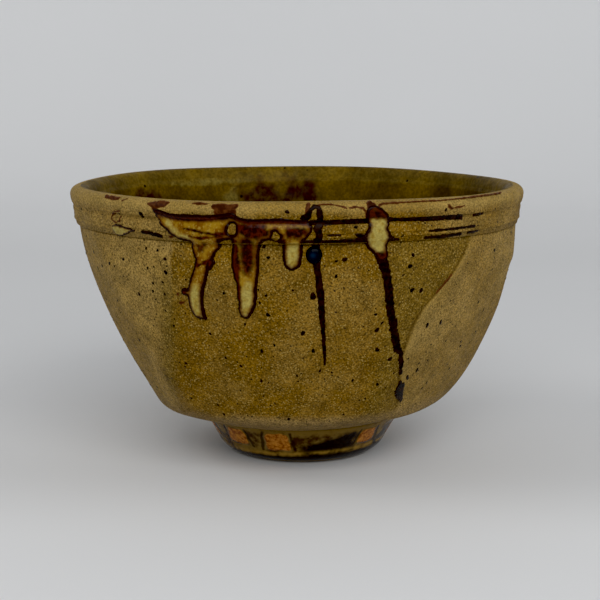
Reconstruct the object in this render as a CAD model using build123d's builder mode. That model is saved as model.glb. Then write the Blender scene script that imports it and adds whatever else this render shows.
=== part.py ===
from build123d import *

import os
from math import atan2, cos, radians, sin, tan

# A thrown and facet-cut stoneware matcha bowl: clay wall, collared rim, trimmed foot, and the glazes on them.
# +Z is up and the origin is on the ground, under the middle of the rim. The side with the glaze runs faces -Y.
# Azimuths are degrees round Z, from -Y towards +X. All sizes are millimetres.

# Rim and collar
HEIGHT = 75.0
RIM_RADIUS = 62.0  # at the fullest part of the lip
RIM_DROP = 2.5  # from the lip's crest down to its fullest part
CREST_RADIUS = 59.4
COLLAR_BASE = 64.8  # the collar stands on the wall at this height
COLLAR_FOOT_RADIUS = 60.4
COLLAR_FACE_RADIUS = 61.1
MOUTH_RADIUS = 56.6  # inside, where the lining stops
MOUTH_HEIGHT = 71.6

# Grooves scored round the collar with a round-nosed tool: height, and radius of its nose
UPPER_GROOVE = (70.1, 0.7)
MIDDLE_LINE = (67.0, 0.3)
LOWER_GROOVE = (65.6, 0.7)

# Wall: the thrown outside before it is faceted, from the trimmed base up to the collar, and the glazed inside
BASE_HEIGHT = 11.6
BASE_RADIUS = 29.6
BASE_TURN = (40.6, 15.4)
OUTSIDE = ((47.0, 20.6), (51.0, 28.7), (56.6, 44.0), (59.1, 54.0), (60.1, COLLAR_BASE))
FLOOR_HEIGHT = 11.5  # a shallow tea pool is turned into the floor
INSIDE = ((12.0, 12.6), (30.6, 17.8), (42.8, 29.0), (50.4, 46.0), (55.2, COLLAR_BASE))

# Facets: azimuth, how far behind Z the centre of their curve is, depth of cut at the top and at the base
FACET_TOP = 64.0
FACET_BASE = 20.0
FACETS = (
    (-4, 20, 1.2, 2.4),
    (57, 60, 0.3, 4.2),
    (127, 20, 1.2, 2.4),
    (180, 20, 1.2, 2.6),
    (228, 20, 1.2, 2.6),
    (285, 36, 0.6, 4.8),
)

# Foot ring, trimmed a little off the rim's centre
FOOT_SHIFT = 1.4
FOOT_TOP_RADIUS = 27.6
FOOT_RIDGE_RADIUS = 23.4
FOOT_RIDGE_HEIGHT = 4.4
FOOT_CONTACT_RADIUS = 17.8
RECESS_RADIUS = 13.2
RECESS_HEIGHT = 5.0

# Glaze thicknesses
LINING = 0.4  # inside, and on the foot
RUN = 0.7  # the pool and the cream runs
IRON = 0.5  # the thin dark runs
FOOT_GLAZE_BASE = 0.9  # the foot is wiped clean below this

# The pool's outline on the collar, seen from its own azimuth: distance sideways, and height. It ends at the wall.
POOL_AZIMUTH = -14
POOL = (
    (-15.4, 64.0),
    (-17.6, 70.8),
    (-20.6, 74.0),
    (-16.0, 73.4),
    (-14.6, 70.8),
    (-5.6, 70.6),
    (-4.6, 73.8),
    (0.4, 73.8),
    (2.2, 70.6),
    (16.0, 70.4),
    (15.5, 64.0),
)

# Runs: what they lie on, the azimuth they are seen from, their thickness, and their stations (distance sideways,
# height, half width)
WALL = ("wall",)
COLLAR = ("collar",)
BOTH = WALL + COLLAR
RUNS = {
    "glaze_run_left": (WALL, -25, RUN, ((2.0, 64.8, 4.4), (2.8, 61.8, 2.9), (2.6, 59.3, 2.1), (1.1, 55.8, 1.5),
                                        (-0.3, 50.2, 2.1), (0.3, 46.9, 1.6))),
    "glaze_run_centre": (WALL, -13, RUN, ((0.6, 65, 3.3), (0.6, 59, 3.3), (1.0, 53, 2.6), (0.4, 48, 1.4))),
    "glaze_run_short": (WALL, -1, RUN, ((0.0, 65, 2.1), (0.0, 61, 2.0), (0.2, 60.2, 1.6))),
    "glaze_run_right": (BOTH, 19, RUN, ((0.0, 70.2, 2.5), (0.0, 66.2, 2.8), (0.6, 63.8, 1.4))),
    "glaze_spot_left": (COLLAR, -46, RUN, ((-1.8, 67.1, 1.5), (1.2, 67.0, 1.2))),
    "iron_run_centre": (WALL, 6, IRON, ((-1.3, 61, 0.9), (-0.7, 57, 0.7), (0.2, 46, 0.6), (1.0, 34, 0.4))),
    "iron_run_right": (WALL, 24, IRON, ((-3.4, 62.5, 1.0), (-2.6, 59, 1.2), (0.0, 46.5, 1.0), (2.2, 37.5, 0.6),
                                        (5.0, 31, 0.4))),
    "iron_drop": (WALL, 31, IRON, ((0.0, 27.0, 0.4), (0.1, 25.0, 1.4), (0.5, 22.2, 0.5))),
}

# A bead of iron glaze hangs under the collar: azimuth, height and radius, and how far out its centre is
BEAD_AZIMUTH = 4.4
BEAD_HEIGHT = 62.2
BEAD_RADIUS = 2.0
BEAD_REACH = 58.0

# Stretches of each groove that iron glaze has filled, from one azimuth to another
UPPER_FILLS = ((2, 16), (22, 42))
LOWER_FILLS = ((2, 16), (22, 25), (31, 48), (-39, -33))


def facing(azimuth, out=0.0):
    """The upright plane that looks out along an azimuth, at a distance out from Z, with X sideways and Y up."""
    outward = Vector(sin(radians(azimuth)), -cos(radians(azimuth)), 0)
    return Plane(origin=outward * out, x_dir=(cos(radians(azimuth)), sin(radians(azimuth)), 0), z_dir=outward)


def section_plane(azimuth, lean=0.0, out=0.0, height=0.0):
    """The upright plane that a section is drawn on: X outwards along an azimuth, and Y up, leaning outwards.
    Its origin is at a distance out from Z and at a height."""
    outward = Vector(sin(radians(azimuth)), -cos(radians(azimuth)), 0)
    up = Vector(0, 0, 1)
    return Plane(
        origin=outward * out + up * height,
        x_dir=outward * cos(lean) - up * sin(lean),
        z_dir=outward.cross(up),
    )


def wall_section(skin):
    """Half the section of the thrown wall, filled to the axis and grown outwards by skin."""
    wall = [(radius + skin, height) for radius, height in OUTSIDE]
    turn = (BASE_TURN[0] + skin, BASE_TURN[1])
    with BuildSketch() as section:
        with BuildLine():
            Polyline((0, BASE_HEIGHT), (BASE_RADIUS, BASE_HEIGHT), turn)
            Spline(turn, *wall, tangents=((1, 0.6), (0.03, 1)))
            Polyline(wall[-1], (0, COLLAR_BASE), (0, BASE_HEIGHT))
        make_face()
    return section.sketch


def facet_section(skin, setback, lean):
    """Half the section of what one facet leaves standing, drawn from that facet's own leaning axis and top, so that
    each height of the wall keeps its height. It runs on straight below the wall, and stands clear of it above."""
    wall = []
    for radius, height in OUTSIDE:
        drop = FACET_TOP - height
        reach = radius + skin + setback - drop * tan(lean)
        wall.append((reach * cos(lean) + drop * sin(lean), reach * sin(lean) - drop * cos(lean)))
    heel = (wall[0][0] - 11, wall[0][1] - 24)
    head = (wall[-1][0] + 1, wall[-1][1] + 12)
    with BuildSketch() as section:
        with BuildLine():
            Polyline((0, heel[1]), heel, wall[0])
            Spline(*wall)
            Polyline(wall[-1], head, (0, head[1]), (0, heel[1]))
        make_face()
    return section.sketch


def faceted_wall(skin):
    """The wall as a solid lump, grown outwards by skin and cut by each facet."""
    with BuildPart() as lump:
        with BuildSketch(Plane.XZ):
            add(wall_section(skin))
        revolve(axis=Axis.Z)
        for azimuth, setback, top_cut, base_cut in FACETS:
            lean = atan2(base_cut - top_cut, FACET_TOP - FACET_BASE)
            cut = section_plane(azimuth, lean, -setback - top_cut, FACET_TOP)
            with BuildSketch(cut):
                add(facet_section(skin, setback, lean))
            revolve(axis=Axis(cut.origin, cut.y_dir), mode=Mode.INTERSECT)
    return lump.part


def collar_section(skin):
    """The collar's section, a flat band under a full rounded lip, with its outside grown by skin."""
    face = COLLAR_FACE_RADIUS + skin
    band = (face, UPPER_GROOVE[0])
    crest = (CREST_RADIUS, HEIGHT)
    mouth = (MOUTH_RADIUS, MOUTH_HEIGHT)
    heel = (INSIDE[-1][0] + LINING, COLLAR_BASE)
    with BuildSketch() as section:
        with BuildLine():
            Polyline(heel, (COLLAR_FOOT_RADIUS + skin, COLLAR_BASE), (face, LOWER_GROOVE[0]), band)
            Spline(band, (RIM_RADIUS + skin, HEIGHT - RIM_DROP), crest, tangents=((0.2, 1), (-1, 0)))
            Spline(crest, mouth, tangents=((-1, 0), (-0.2, -1)))
            Line(mouth, heel)
        make_face()
    return section.sketch


def grooved_section():
    """The collar's section with its grooves scored."""
    with BuildSketch() as section:
        add(collar_section(0))
        for height, nose in (UPPER_GROOVE, MIDDLE_LINE, LOWER_GROOVE):
            with Locations((COLLAR_FACE_RADIUS, height)):
                Circle(nose, mode=Mode.SUBTRACT)
    return section.sketch


def collar_skin(skin):
    """A layer over the collar's outside that fills its grooves."""
    with BuildPart() as layer:
        with BuildSketch(Plane.XZ):
            add(collar_section(skin))
            add(grooved_section(), mode=Mode.SUBTRACT)
        revolve(axis=Axis.Z)
    return layer.part


def hollow(clearance):
    """The bowl's hollow as a solid, from the floor to the mouth, moved out and down by clearance."""
    floor = (0, FLOOR_HEIGHT - clearance)
    wall = [(radius + clearance, height - clearance) for radius, height in INSIDE[:-1]]
    shoulder = (INSIDE[-1][0] + clearance, COLLAR_BASE)
    mouth = (MOUTH_RADIUS - LINING + clearance, MOUTH_HEIGHT)
    with BuildPart() as space:
        with BuildSketch(Plane.XZ):
            with BuildLine():
                Spline(floor, *wall, shoulder, tangents=((1, 0), (0.1, 1)))
                Polyline(shoulder, mouth, (0, MOUTH_HEIGHT), floor)
            make_face()
        revolve(axis=Axis.Z)
    return space.part


def foot_section(skin):
    """The foot ring's section: contact face, undercut bevel, ridge, and the slope up to the base."""
    contact = (FOOT_CONTACT_RADIUS + skin, 0)
    belly = (FOOT_RIDGE_RADIUS - 2.2 + skin, 1.4)
    ridge = (FOOT_RIDGE_RADIUS + skin, FOOT_RIDGE_HEIGHT)
    with BuildSketch() as section:
        with BuildLine():
            Line((RECESS_RADIUS, 0), contact)
            ThreePointArc(contact, belly, ridge)
            Polyline(ridge, (FOOT_TOP_RADIUS + skin, BASE_HEIGHT), (RECESS_RADIUS, BASE_HEIGHT), (RECESS_RADIUS, 0))
        make_face()
    return section.sketch


# Clay. The foot ring stands under the base, and the floor fills the ring down to its recess.
foot_plane = Plane(origin=(FOOT_SHIFT, 0, 0), x_dir=(1, 0, 0), z_dir=(0, -1, 0))
foot_axis = Axis((FOOT_SHIFT, 0, 0), (0, 0, 1))

bare_wall = faceted_wall(0)
with BuildPart() as bowl_body:
    add(bare_wall)
    with BuildSketch(Plane((FOOT_SHIFT, 0, RECESS_HEIGHT))):
        Circle(RECESS_RADIUS)
    extrude(amount=BASE_HEIGHT - RECESS_HEIGHT)
    add(hollow(LINING), mode=Mode.SUBTRACT)

with BuildPart() as rim_band:
    with BuildSketch(Plane.XZ):
        add(grooved_section())
    revolve(axis=Axis.Z)

with BuildPart() as foot_ring:
    with BuildSketch(foot_plane):
        add(foot_section(0))
    revolve(axis=foot_axis)

# Glaze inside, and on the foot
with BuildPart() as inner_glaze:
    add(hollow(LINING))
    add(hollow(0), mode=Mode.SUBTRACT)

with BuildPart() as foot_glaze:
    with BuildSketch(foot_plane):
        add(foot_section(LINING))
        add(foot_section(0), mode=Mode.SUBTRACT)
        Rectangle(4 * FOOT_TOP_RADIUS, 2 * FOOT_GLAZE_BASE, mode=Mode.SUBTRACT)
    revolve(axis=foot_axis)

pieces = {
    "bowl_body": bowl_body.part,
    "rim_band": rim_band.part,
    "foot_ring": foot_ring.part,
    "inner_glaze": inner_glaze.part,
    "foot_glaze": foot_glaze.part,
}

# Glaze outside, cut from a skin over the wall and one over the collar, which fills the grooves
skins = {
    ("wall", RUN): faceted_wall(RUN) - bare_wall,
    ("wall", IRON): faceted_wall(IRON) - bare_wall,
    ("collar", RUN): collar_skin(RUN),
}


def patch(outline, shell):
    """The glaze that an outline, taken outwards from Z, holds of a shell."""
    with BuildPart() as held:
        extrude(outline, amount=2 * RIM_RADIUS)
        add(shell, mode=Mode.INTERSECT)
    return held.part


with BuildSketch(facing(POOL_AZIMUTH)) as pool_outline:
    with BuildLine():
        Polyline(*POOL, close=True)
    make_face()
with BuildPart() as rim_glaze_pool:
    add(patch(pool_outline.sketch, skins["collar", RUN]))
pieces["rim_glaze_pool"] = rim_glaze_pool.part

with BuildPart() as glaze_bead:
    with Locations(facing(BEAD_AZIMUTH, BEAD_REACH)):
        with Locations((0, BEAD_HEIGHT, 0)):
            Sphere(BEAD_RADIUS)
    add(bare_wall, mode=Mode.SUBTRACT)
pieces["glaze_bead"] = glaze_bead.part

# A run gives way to the pool, the bead and the runs named before it
covered = [rim_glaze_pool.part, glaze_bead.part]
for name, (grounds, azimuth, skin, stations) in RUNS.items():
    with BuildSketch(facing(azimuth)) as run_outline:
        for link in zip(stations, stations[1:]):
            with BuildSketch(mode=Mode.PRIVATE) as drop:
                for across, height, half_width in link:
                    with Locations((across, height)):
                        Circle(half_width)
                make_hull()
            add(drop.sketch)
    with BuildPart() as run:
        for ground in grounds:
            add(patch(run_outline.sketch, skins[ground, skin]))
        for piece in covered:
            add(piece, mode=Mode.SUBTRACT)
    pieces[name] = run.part
    covered.append(run.part)

for name, groove, spans in (
    ("groove_glaze_upper", UPPER_GROOVE, UPPER_FILLS),
    ("groove_glaze_lower", LOWER_GROOVE, LOWER_FILLS),
):
    with BuildPart() as fill:
        for start, end in spans:
            with BuildSketch(section_plane(start)):
                add(collar_section(0))
                with Locations((COLLAR_FACE_RADIUS, groove[0])):
                    Circle(groove[1], mode=Mode.INTERSECT)
            revolve(axis=Axis.Z, revolution_arc=end - start)
    pieces[name] = fill.part

os.makedirs("parts", exist_ok=True)
for name, part in pieces.items():
    part.label = name
    export_step(part, f"parts/{name}.step")
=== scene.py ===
"""A faceted stoneware matcha bowl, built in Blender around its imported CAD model.

Lengths in the code are millimetres and azimuths are degrees round Z, from -Y (the side with the glaze runs)
towards +X, until mesh_object() turns millimetres into metres. Every clay surface is read from the CAD model
by casting rays at it and softened like wet clay. The glazes are then laid on those surfaces.
"""

import math

import bpy
import numpy as np
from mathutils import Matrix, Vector
from mathutils.bvhtree import BVHTree


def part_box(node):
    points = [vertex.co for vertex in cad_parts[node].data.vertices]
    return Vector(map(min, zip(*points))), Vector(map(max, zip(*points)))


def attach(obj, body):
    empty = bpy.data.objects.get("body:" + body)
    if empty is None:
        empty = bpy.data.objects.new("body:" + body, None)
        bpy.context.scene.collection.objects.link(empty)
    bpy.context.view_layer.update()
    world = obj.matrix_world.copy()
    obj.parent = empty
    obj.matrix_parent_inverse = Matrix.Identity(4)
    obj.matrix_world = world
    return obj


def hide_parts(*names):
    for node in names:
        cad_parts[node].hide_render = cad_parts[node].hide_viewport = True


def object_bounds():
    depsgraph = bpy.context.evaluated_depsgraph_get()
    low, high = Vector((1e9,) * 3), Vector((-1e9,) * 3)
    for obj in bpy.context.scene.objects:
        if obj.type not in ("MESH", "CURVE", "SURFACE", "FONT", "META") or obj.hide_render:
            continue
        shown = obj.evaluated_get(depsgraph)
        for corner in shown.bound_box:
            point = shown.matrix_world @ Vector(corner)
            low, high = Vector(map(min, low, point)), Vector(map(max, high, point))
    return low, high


MM = 0.001
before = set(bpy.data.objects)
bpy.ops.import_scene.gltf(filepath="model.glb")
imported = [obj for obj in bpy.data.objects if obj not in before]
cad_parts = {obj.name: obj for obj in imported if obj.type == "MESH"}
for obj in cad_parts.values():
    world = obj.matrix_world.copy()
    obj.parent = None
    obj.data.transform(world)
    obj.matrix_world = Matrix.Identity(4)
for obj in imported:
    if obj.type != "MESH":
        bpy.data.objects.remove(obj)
cad_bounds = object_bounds()

# Camera, fitted to the view: where it stands, how far it looks down, and its lens
CAMERA_PLACE = (0.9, -390.0, 106.3)
CAMERA_PITCH = 9.43
CAMERA_LENS = 84.8
SENSOR = 36.0
BLACK_LEVEL = 0.006  # the deepest tones print as plain black

# Sizes read from the CAD model
HEIGHT = (Vector(cad_bounds[1]) / MM).z
SEAM_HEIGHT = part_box("rim_band")[0].z / MM - 0.02  # just under the collar, where the wall stops
FOOT_LOW, FOOT_HIGH = (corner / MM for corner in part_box("foot_ring"))
FOOT_TOP = FOOT_HIGH.z
FOOT_SHIFT = (FOOT_LOW.x + FOOT_HIGH.x) / 2
FOOT_RADIUS = (FOOT_HIGH.x - FOOT_LOW.x) / 2
RECESS_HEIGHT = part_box("bowl_body")[0].z / MM
MOUTH_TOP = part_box("inner_glaze")[1].z / MM

COLUMNS = 720  # how many steps each clay surface takes round the bowl
DEGREE = math.pi * 60 / 180  # millimetres per degree of azimuth, at the wall's outside


# ---------------------------------------------------------------- geometry helpers

def outward(azimuth):
    """The level unit vector that points out along an azimuth."""
    angle = math.radians(azimuth)
    return Vector((math.sin(angle), -math.cos(angle), 0))


def ray_tree(*meshes):
    """A ray-casting tree of some meshes, in millimetres."""
    points, faces = [], []
    for mesh in meshes:
        start = len(points)
        points += [vertex.co / MM for vertex in mesh.vertices]
        faces += [[start + corner for corner in face.vertices] for face in mesh.polygons]
    return BVHTree.FromPolygons(points, faces)


def cad_tree(node):
    """The ray-casting tree of a CAD node."""
    return ray_tree(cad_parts[node].data)


def hit_distance(tree, pivot, direction, reach=120.0, missing=0.0):
    """How far from pivot, going along direction, the outermost surface lies: the ray comes from outside."""
    hit, _, _, distance = tree.ray_cast(pivot + direction * reach, -direction, reach)
    return reach - distance if hit else missing


def inner_distance(tree, pivot, direction, reach=120.0):
    """How far from pivot the first surface along direction lies."""
    hit, _, _, distance = tree.ray_cast(pivot, direction, reach)
    return distance if hit else 0.0


def smooth_rings(grid, across, along):
    """Softens a grid of distances. Spreads are in steps: across between rows, and along round the bowl."""
    def kernel(spread):
        steps = np.arange(-int(3 * spread) - 1, int(3 * spread) + 2)
        weights = np.exp(-0.5 * (steps / spread) ** 2)
        return steps, weights / weights.sum()

    steps, weights = kernel(along)
    grid = sum(weight * np.roll(grid, step, axis=1) for step, weight in zip(steps, weights))
    steps, weights = kernel(across)
    rows = np.arange(grid.shape[0])
    last = len(rows) - 1
    return sum(weight * grid[np.clip(rows + step, 0, last)] for step, weight in zip(steps, weights))


def smoothstep(low, high, value):
    """0 below low, 1 above high, and an easy curve between."""
    share = np.clip((value - low) / (high - low), 0, 1)
    return share * share * (3 - 2 * share)


def hand_thrown(points):
    """Moves points a few tenths of a millimetre, as a thrown and fired pot is never quite round or level."""
    points = np.array(points, float)
    x, y, z = points[..., 0], points[..., 1], points[..., 2]
    angle = np.arctan2(x, -y)
    swell = 0.0016 * np.sin(2 * angle + 0.7) + 0.0013 * np.sin(3 * angle + 2.1)
    swell = swell + 0.0007 * np.sin(7 * angle + z / 14)
    scale = 1 + smoothstep(FOOT_TOP, FOOT_TOP + 20, z) * (swell - 0.002)
    wave = 0.22 * np.sin(2 * angle + 1.1) + 0.13 * np.sin(5 * angle + 0.4) - 0.4
    return np.stack([x * scale, y * scale, z + smoothstep(HEIGHT - 22, HEIGHT, z) * wave], axis=-1)


def mesh_object(name, points, faces, material, **attributes):
    """A smooth-shaded mesh object made from points in millimetres, with float attributes on its points."""
    mesh = bpy.data.meshes.new(name)
    mesh.from_pydata((np.asarray(points, float) * MM).tolist(), [], faces)
    for key, values in attributes.items():
        layer = mesh.attributes.new(key, "FLOAT", "POINT")
        layer.data.foreach_set("value", np.asarray(values, np.float32).ravel())
    mesh.polygons.foreach_set("use_smooth", [True] * len(mesh.polygons))
    mesh.update()
    thing = bpy.data.objects.new(name, mesh)
    bpy.context.scene.collection.objects.link(thing)
    thing.data.materials.append(material)
    return thing


def finish_piece(piece, slot, *nodes):
    """Rides a piece on the bowl and hides the CAD nodes that it stands for. Its slot is not used."""
    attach(piece, "root")
    if nodes:
        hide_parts(*nodes)


def ring_faces(rows, columns, loop=False, start_pole=False, end_pole=False):
    """Quads between rows of points that go round the bowl. A loop joins the last row to the first.
    A pole is one more point, after the rows, that closes the first or the last row."""
    faces = []
    for row in range(rows if loop else rows - 1):
        lower, upper = row * columns, (row + 1) % rows * columns
        for column in range(columns):
            after = (column + 1) % columns
            faces.append((lower + column, lower + after, upper + after, upper + column))
    pole = rows * columns
    if start_pole:
        faces += [(pole, (column + 1) % columns, column) for column in range(columns)]
        pole += 1
    if end_pole:
        last = (rows - 1) * columns
        faces += [(pole, last + column, last + (column + 1) % columns) for column in range(columns)]
    return faces


AZIMUTHS = np.arange(COLUMNS) * 360.0 / COLUMNS
OUTWARDS = [outward(azimuth) for azimuth in AZIMUTHS]
FROM_FRONT = (AZIMUTHS + 180) % 360 - 180  # the same azimuths, counted from -180 to 180
UP = Vector((0, 0, 1))


def level_rings(heights, radii, shift=0.0):
    """Plain rings: a radius, or an array of them, for each height."""
    rows = []
    for height, radius in zip(heights, radii):
        radius = np.broadcast_to(radius, COLUMNS)
        rows.append([(out.x * r + shift, out.y * r, height) for out, r in zip(OUTWARDS, radius)])
    return np.array(rows)


# ---------------------------------------------------------------- clay surfaces

# Where the facets meet, as (azimuth, height) lines from the collar down, and the tone of each facet to the
# right of its line: 0 is golden olive and 1 is pale and sandy. The paler side facets are partly the clay's
# own colour and partly painted sheen.
FACET_LINES = (
    (((-155, 64), (-152, 48), (-154, 34), (-157, 18)), 0.35),
    (((-98, 64), (-101, 50), (-100, 36), (-97, 18)), 0.95),
    (((-30, 64), (-31, 56), (-32, 49.7), (-34, 38.9), (-40, 25.5), (-43, 18)), 0.05),
    (((46, 64), (44, 60), (40, 55.3), (36, 50.5), (33, 47.5), (31, 43.3), (30, 38.6), (29.5, 35),
     (30, 31.3), (33, 25), (36, 20)), 0.78),
    (((92, 64), (94, 50), (95, 38), (93, 18)), 0.4),
    (((153, 64), (151, 52), (154, 36), (156, 18)), 0.6),
)
LEFT_CREASE = FACET_LINES[2][0]
RIGHT_EDGE = FACET_LINES[3][0]
BLUFF = (19.0, 25.0)  # azimuths over which the front facet turns to dark olive
FACET_EDGE = 0.34  # how far the edge of the facet at the right stands proud
LINE_DEPTH = 0.12  # how deep the groove beside that edge is; the dark line along it is painted shadow
WALL_RADIUS = 58

WALL_PIVOT = (24.0, 24.0)  # radius and height of the ring that rays towards the base are aimed at
FOOT_LEDGE = 0.8  # how far outside the foot the wall's surface starts
BASE_ROWS = 38
WALL_ROWS = 68


def outside_rows():
    """The wall's outside from the foot up to the collar, as a grid of points with softened facet edges."""
    tree = cad_tree("bowl_body")
    pivot_radius, pivot_height = WALL_PIVOT
    down = math.atan2(FOOT_TOP - pivot_height, FOOT_RADIUS + FOOT_LEDGE - pivot_radius)
    angles = np.linspace(down, 0, BASE_ROWS, endpoint=False)
    aims = [(pivot_height, math.cos(angle), math.sin(angle)) for angle in angles]
    aims += [(height, 1.0, 0.0) for height in np.linspace(pivot_height, SEAM_HEIGHT, WALL_ROWS)]
    reach = []
    for height, level, rise in aims:
        reach.append([hit_distance(tree, out * pivot_radius + UP * height, out * level + UP * rise)
                      for out in OUTWARDS])
    points = []
    for (height, level, rise), row in zip(aims, smooth_rings(np.array(reach), across=1.0, along=2.2)):
        radii = pivot_radius + row * level
        points.append([(out.x * radius, out.y * radius, height + far * rise)
                       for out, radius, far in zip(OUTWARDS, radii, row)])
    return np.array(points)


def past_line(azimuth, height, line):
    """How far to the right of an (azimuth, height) line each place is, in millimetres."""
    turns, heights = zip(*reversed(line))
    return (azimuth - np.interp(height, heights, turns)) * DEGREE


def wall_marks(azimuth, height):
    """The wall's masks for arrays of places: tone, the dark olive bluff, the raised edge, the painted shadow
    line beside it and the painted shade along the crease at the left."""
    across = azimuth * DEGREE
    wander = 0.5 * mottle(across, height, 3.0, 91) + 0.25 * mottle(across, height, 1.1, 92)
    tone = np.full(np.shape(height), FACET_LINES[-1][1])
    for line, shade in FACET_LINES:
        tone += (shade - tone) * smoothstep(-0.6, 0.6, past_line(azimuth, height, line) + wander)
    past = past_line(azimuth, height, RIGHT_EDGE)
    bluff = smoothstep(BLUFF[0], BLUFF[1], azimuth + wander) * smoothstep(0.4, -0.4, past)
    fade = smoothstep(18, 24, height) * smoothstep(65, 61, height)
    edge = smoothstep(-0.45, 0.35, past) * np.exp(-np.maximum(past, 0) / 2.2) * fade
    # painted shadow: a dark line beside the raised edge
    line = np.exp(-((past + 0.45) / 0.40) ** 2) * fade
    left = past_line(azimuth, height, LEFT_CREASE)
    # painted shade along the crease at the left
    crease_shade = np.exp(-((left + 1.0) / 3.2) ** 2) * smoothstep(64, 50, height) * smoothstep(18, 26, height)
    return {"tone": tone, "bluff": bluff, "edge": edge, "line": line, "crease_shade": crease_shade}


def inside_rows(tree, top, turn, floor_rows, wall_rows):
    """An inside surface from its top down to near the middle of the floor: rays go out from the axis down to
    the height turn, and then down onto the floor."""
    rows = []
    for height in np.linspace(top, turn, wall_rows):
        rows.append([tuple(out * inner_distance(tree, UP * height, out) + UP * height) for out in OUTWARDS])
    widest = np.hypot(rows[-1][0][0], rows[-1][0][1])
    for radius in np.linspace(widest, 1.0, floor_rows + 1)[1:]:
        drop = [inner_distance(tree, out * radius + UP * HEIGHT, -UP) for out in OUTWARDS]
        rows.append([tuple(out * radius + UP * (HEIGHT - fall)) for out, fall in zip(OUTWARDS, drop)])
    return np.array(rows)


def build_wall(material):
    """The thrown and faceted wall with its floor, closed underneath by the ceiling of the foot's recess."""
    outside = outside_rows()
    recess = inner_distance(cad_tree("foot_ring"), Vector((FOOT_SHIFT, 0, 2)), outward(0))
    under = level_rings((RECESS_HEIGHT, RECESS_HEIGHT, FOOT_TOP, FOOT_TOP),
                        (recess / 2, recess, recess, FOOT_RADIUS - 1), FOOT_SHIFT)
    inside = inside_rows(cad_tree("bowl_body"), SEAM_HEIGHT, turn=26.0, floor_rows=8, wall_rows=14)
    marks = wall_marks(FROM_FRONT, outside[..., 2])
    proud = FACET_EDGE * marks["edge"] - LINE_DEPTH * marks["line"]
    outside[..., :2] *= 1 + proud[..., None] / WALL_RADIUS
    rows = np.concatenate([under, outside, inside])
    poles = [(FOOT_SHIFT, 0, RECESS_HEIGHT), (0, 0, inside[-1, 0, 2])]
    points = np.concatenate([hand_thrown(rows).reshape(-1, 3), poles])
    faces = ring_faces(len(rows), COLUMNS, start_pole=True, end_pole=True)
    before, after = under.shape[0] * COLUMNS, inside.shape[0] * COLUMNS + 2
    spread = {key: np.pad(values.ravel(), (before, after)) for key, values in marks.items()}
    return mesh_object("bowl_wall", points, faces, material, **spread)


SECTION_REACH = 16  # how far outside a section's pivot its rays start


def section_loop(node, pivot, angles, shift=0.0):
    """Points round the section of a ring-shaped CAD node: for each angle in degrees, rays aimed from outside
    at the ring pivot."""
    tree, (radius, height) = cad_tree(node), pivot
    rows = []
    for angle in np.radians(angles):
        level, rise = math.cos(angle), math.sin(angle)
        row = []
        for out in OUTWARDS:
            middle = out * radius + UP * height + Vector((shift, 0, 0))
            aim = out * level + UP * rise
            row.append(tuple(middle + aim * hit_distance(tree, middle, aim, SECTION_REACH, 1.0)))
        rows.append(row)
    return np.array(rows)


COLLAR_PIVOT = (58.7, 70.0)  # radius and height
# The collar's tone by azimuth, paler at the left partly from the clay and partly as painted sheen, and the
# heights of its lip and its band
COLLAR_TONES = (
    (-180, 0.45), (-110, 0.7), (-55, 1.0), (-40, 0.8), (-28, 0.25), (18, 0.0), (50, 0.6), (100, 0.6),
    (180, 0.45),
)
LIP_BOTTOM = 71.5
BAND_HEIGHTS = (65.5, 69.0)
GROOVE_WEAR = 0.75  # how much of the groove under the lip is gone at the sides


def wear_groove(rows):
    """Fills most of the groove between the lip and the band towards the bowl's sides, where it fades out."""
    height, radius = rows[..., 2], np.hypot(rows[..., 0], rows[..., 1])
    lip = np.where(height > LIP_BOTTOM, radius, 0).max(axis=0)
    band = np.where((height > BAND_HEIGHTS[0]) & (height < BAND_HEIGHTS[1]), radius, 0).max(axis=0)
    between = band + (lip - band) * np.clip((height - 68) / 4, 0, 1)
    at_sides = smoothstep(30, 75, np.abs(FROM_FRONT))
    in_groove = smoothstep(65.8, 67, height) * smoothstep(72.6, 71.8, height) * (radius > 58.5)
    fill = GROOVE_WEAR * at_sides * in_groove * np.maximum(between - radius, 0)
    rows[..., :2] *= (1 + fill / radius)[..., None]


def build_collar(material):
    """The collar: a loop of rings round its section, close together on the grooved outside."""
    face = np.linspace(-62, 75, 78, endpoint=False)
    back = np.linspace(75, 298, 26, endpoint=False)
    rows = section_loop("rim_band", COLLAR_PIVOT, np.concatenate([face, back]))
    wear_groove(rows)
    # The crest of the lip is painted lighter: partly worn clay, partly a painted highlight
    crest = smoothstep(71.0, 73.6, rows[..., 2])
    tone = np.interp(FROM_FRONT, *zip(*COLLAR_TONES)) + 0.35 * crest
    points = hand_thrown(rows).reshape(-1, 3)
    return mesh_object("rim_collar", points, ring_faces(len(rows), COLUMNS, loop=True), material,
                       tone=tone, edge=0.9 * crest)


FOOT_PIVOT = (19.6, 6.2)  # radius and height


def build_foot(material):
    """The trimmed foot ring, with its rings close together on its outside."""
    face = np.linspace(-98, 40, 46, endpoint=False)
    back = np.linspace(40, 262, 22, endpoint=False)
    rows = section_loop("foot_ring", FOOT_PIVOT, np.concatenate([face, back]), FOOT_SHIFT)
    return mesh_object("foot_clay", rows.reshape(-1, 3), ring_faces(len(rows), COLUMNS, loop=True), material)


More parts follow.
